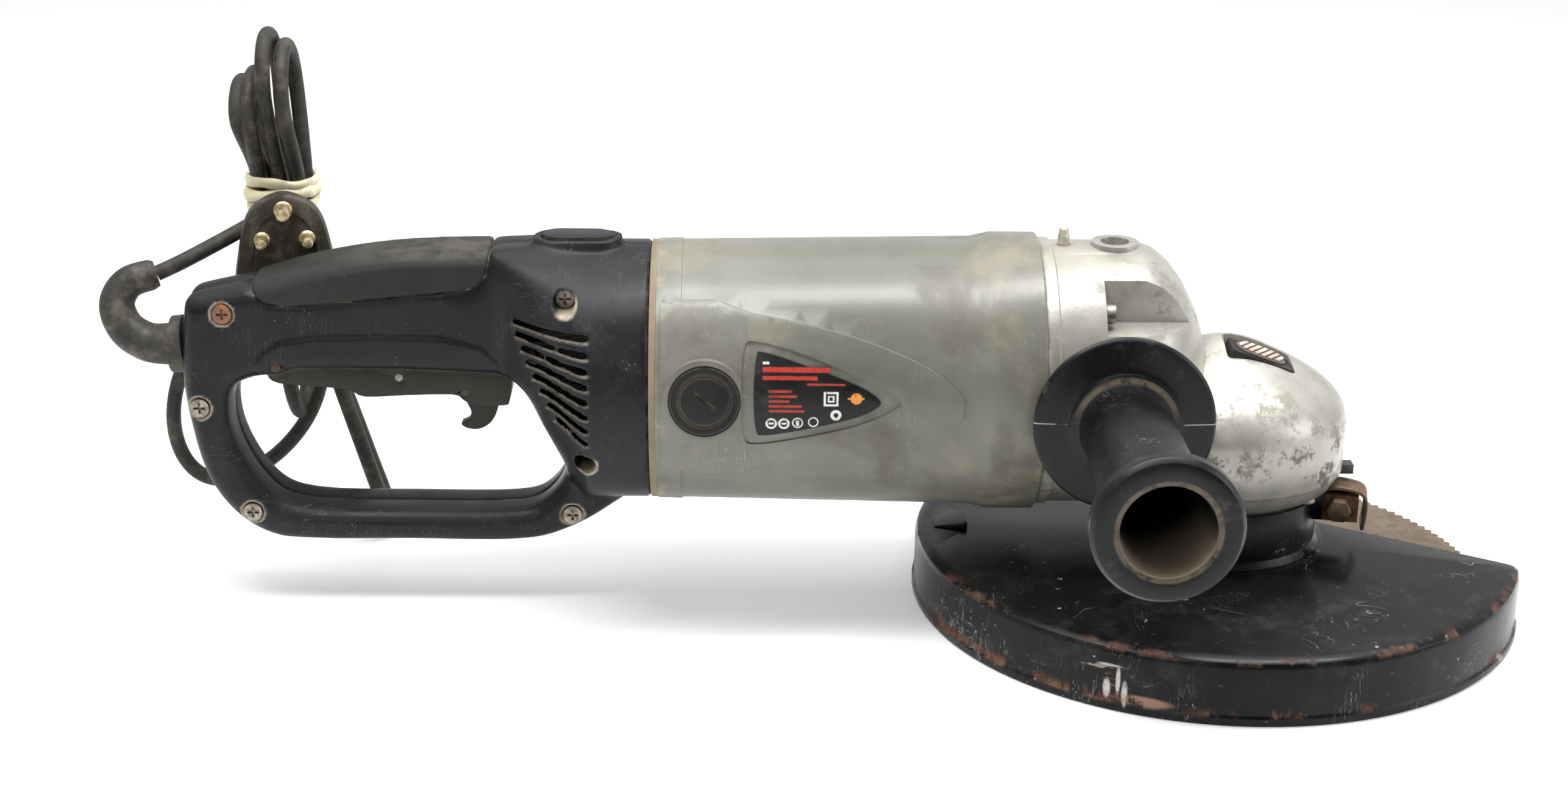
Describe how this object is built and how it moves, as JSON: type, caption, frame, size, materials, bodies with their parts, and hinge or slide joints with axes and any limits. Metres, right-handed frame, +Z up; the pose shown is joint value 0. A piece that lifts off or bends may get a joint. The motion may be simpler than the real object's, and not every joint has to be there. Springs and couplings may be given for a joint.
{
  "type": "angle grinder",
  "caption": "Large corded angle grinder for concrete: turning D-shaped rear handle, side handle, clamped guard and disc.",
  "frame": {"origin": "on the surface the guard's rim stands on, below the middle of the tool's box without its cord", "axes": "+X from the rear handle to the gear head, +Z up the spindle, +Y to the side without a side handle"},
  "size_m": [0.5885, 0.288, 0.2375],
  "materials": {
    "grey_plastic": "worn moulded plastic",
    "handle_plastic": "worn moulded plastic",
    "soft_grip": "soft overmould",
    "tan_ring": "dusty ring",
    "black_plastic": "moulded",
    "trigger_plastic": "worn moulded plastic",
    "button_plastic": "moulded",
    "cast_alloy": "dirty casting",
    "stub_metal": "dull",
    "dark_screws": "dirty",
    "rusty_screws": "rusty",
    "bright_steel": "ground",
    "spring_steel": "drawn wire",
    "gear_steel": "hardened",
    "dull_steel": "dull",
    "brass": "tarnished",
    "plug_brass": "tarnished",
    "carbon": "pressed carbon",
    "copper": "enamelled wire",
    "commutator_copper": "turned",
    "laminations": "stacked sheet",
    "fan_plastic": "moulded",
    "label": "printed",
    "lock_button": "ribbed",
    "guard_paint": "chipped gloss black",
    "rusty_steel": "rusty",
    "disc": "rusty",
    "cord_rubber": "dusty rubber",
    "tie": "tied strip",
    "plug_rubber": "dirty rubber"
  },
  "bodies": {
    "rear_handle": {"rear_handle_right": "handle_plastic", "rear_handle_left": "handle_plastic", "grip_pad": "soft_grip", "handle_screws": "rusty_screws", "switch_body": "black_plastic", "cord_clamp": "handle_plastic", "cord_sleeve": "cord_rubber", "trigger_pivot_pin": "bright_steel", "trigger_spring": "spring_steel", "release_spring": "spring_steel", "cord": "cord_rubber", "cord_hank": "cord_rubber", "cord_tail": "cord_rubber", "hank_tie": "tie", "plug_body": "plug_rubber", "plug_pins": "plug_brass"},
    "motor_body": {"motor_housing": "grey_plastic", "swivel_ring": "tan_ring", "brush_caps": "black_plastic", "brush_holders": "brass", "carbon_brushes": "carbon", "brush_springs": "spring_steel", "label_plates": "label", "stator_core": "laminations", "field_coils": "copper", "air_baffle": "black_plastic", "rear_bearing": "bright_steel", "front_bearing": "bright_steel", "gear_housing": "cast_alloy", "breather_stub": "stub_metal", "housing_screws": "dark_screws", "bearing_cover": "cast_alloy", "cover_screws": "dark_screws", "spindle_lower_bearing": "bright_steel", "spindle_upper_bushing": "brass", "side_handle": "black_plastic", "side_handle_stud": "dull_steel", "spindle_lock_spring": "spring_steel"},
    "armature": {"armature_shaft": "bright_steel", "armature_core": "laminations", "armature_windings": "copper", "commutator": "commutator_copper", "cooling_fan": "fan_plastic", "bevel_pinion": "gear_steel", "pinion_nut": "gear_steel"},
    "spindle": {"spindle": "bright_steel", "spindle_key": "bright_steel", "crown_gear": "gear_steel", "inner_flange": "dull_steel", "cutting_disc": "disc", "flange_nut": "dull_steel"},
    "guard": {"guard": "guard_paint", "guard_clamp_bolt": "rusty_steel"},
    "trigger": {"trigger_paddle": "trigger_plastic", "trigger_link_pin": "rusty_screws", "lock_off_pin": "bright_steel"},
    "lock_off": {"lock_off_lever": "trigger_plastic"},
    "release_button": {"release_button": "button_plastic"},
    "spindle_lock": {"spindle_lock_button": "lock_button"}
  },
  "joints": [
    {"name": "handle_swivel", "type": "hinge", "parent": "rear_handle", "child": "motor_body", "pos_m": [-0.09069, 0.029, 0.1], "axis": [1, 0, 0], "range_deg": [-90, 90]},
    {"name": "spindle_spin", "type": "hinge", "parent": "motor_body", "child": "spindle", "pos_m": [0.15432, 0.029, 0.05], "axis": [0, 0, 1], "continuous": true},
    {"name": "armature_spin", "type": "hinge", "parent": "motor_body", "child": "armature", "pos_m": [0.00432, 0.029, 0.1], "axis": [1, 0, 0], "continuous": true},
    {"name": "guard_turn", "type": "hinge", "parent": "motor_body", "child": "guard", "pos_m": [0.15432, 0.029, 0.045], "axis": [0, 0, 1], "range_deg": [-90, 90]},
    {"name": "trigger_pull", "type": "hinge", "parent": "rear_handle", "child": "trigger", "pos_m": [-0.23769, 0.029, 0.1045], "axis": [0, -1, 0], "range_deg": [0, 4], "stiffness_Nm_per_rad": 3, "springref_deg": -2.86, "deforming": ["trigger_spring"]},
    {"name": "lock_off_swing", "type": "hinge", "parent": "trigger", "child": "lock_off", "pos_m": [-0.16148, 0.029, 0.092], "axis": [0, 1, 0], "range_deg": [0, 18], "stiffness_Nm_per_rad": 0.2, "springref_deg": -11.46},
    {"name": "release_press", "type": "slide", "parent": "rear_handle", "child": "release_button", "axis": [0, 0, -1], "range_m": [0, 0.0025], "stiffness_N_per_m": 1000, "springref_m": -0.002, "deforming": ["release_spring"]},
    {"name": "spindle_lock_press", "type": "slide", "parent": "motor_body", "child": "spindle_lock", "axis": [0, 0, -1], "range_m": [0, 0.0025], "stiffness_N_per_m": 1000, "springref_m": -0.002, "deforming": ["spindle_lock_spring"]}
  ],
  "couplings": [
    {"joint": "armature_spin", "follows": "spindle_spin", "ratio": -3.7}
  ]
}
